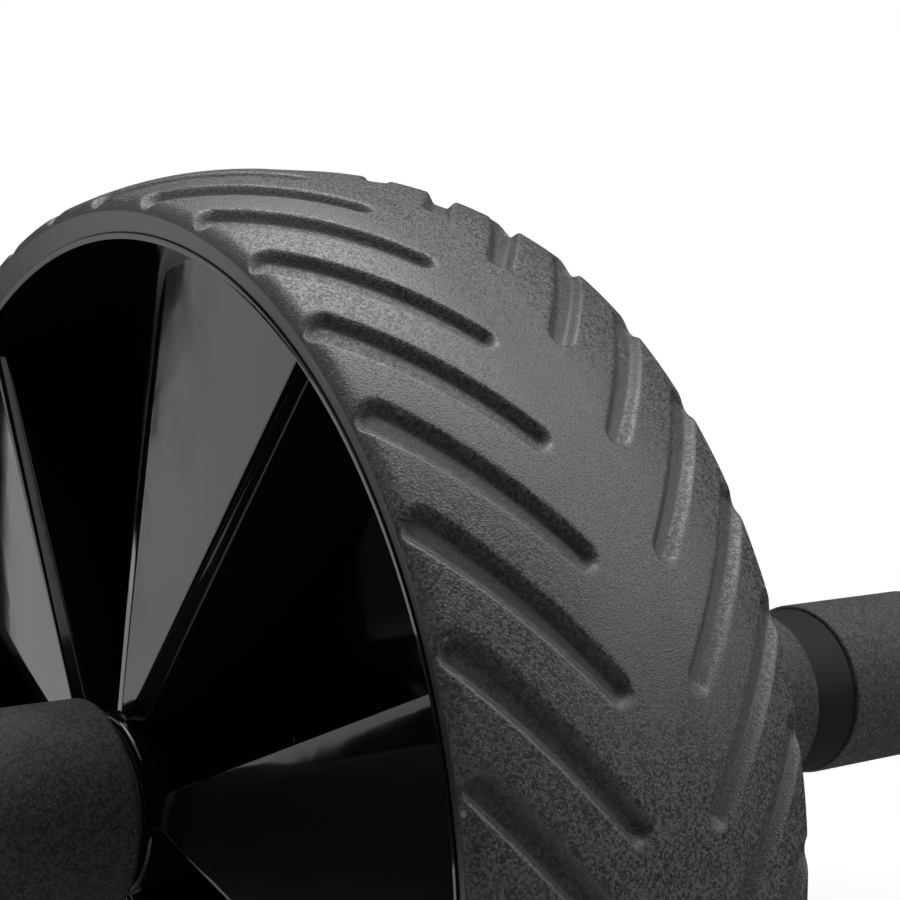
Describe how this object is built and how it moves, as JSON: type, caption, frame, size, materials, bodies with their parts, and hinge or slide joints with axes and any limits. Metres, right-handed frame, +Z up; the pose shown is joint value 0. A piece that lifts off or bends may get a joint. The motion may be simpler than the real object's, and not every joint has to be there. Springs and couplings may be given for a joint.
{
  "type": "ab wheel roller",
  "caption": "Wide rubber-tyred wheel with a chevron tread, turning freely on an axle between two straight grips; knelt over and rolled out to train the trunk.",
  "frame": {"origin": "middle of the wheel, on the axle", "axes": "+Y along the axle towards the right-hand grip, +Z up, +X the way it rolls"},
  "size_m": [0.19, 0.31, 0.19],
  "materials": {
    "tyre_rubber": "matte rubber with a fine sandy grain",
    "rim_plastic": "gloss black moulding",
    "grip_rubber": "matte, finely pebbled",
    "band_plastic": "satin black",
    "cap_plastic": "satin black",
    "core_plastic": "moulded",
    "bush_nylon": "natural nylon",
    "steel": "bright zinc"
  },
  "bodies": {
    "handlebar": {"axle": "steel", "thrust_washer_left": "bush_nylon", "thrust_washer_right": "bush_nylon", "handle_core_left": "core_plastic", "handle_core_right": "core_plastic", "grip_left": "grip_rubber", "grip_right": "grip_rubber", "grip_band_left": "band_plastic", "grip_band_right": "band_plastic", "axle_washer_left": "steel", "axle_washer_right": "steel", "lock_nut_left": "steel", "lock_nut_right": "steel", "end_cap_left": "cap_plastic", "end_cap_right": "cap_plastic"},
    "wheel": {"tyre": "tyre_rubber", "rim_left": "rim_plastic", "rim_right": "rim_plastic", "bush_left": "bush_nylon", "bush_right": "bush_nylon", "rim_screws": "steel"}
  },
  "joints": [
    {"name": "wheel_spin", "type": "hinge", "parent": "handlebar", "child": "wheel", "pos_m": [0, 0, 0], "axis": [0, 1, 0], "continuous": true}
  ]
}
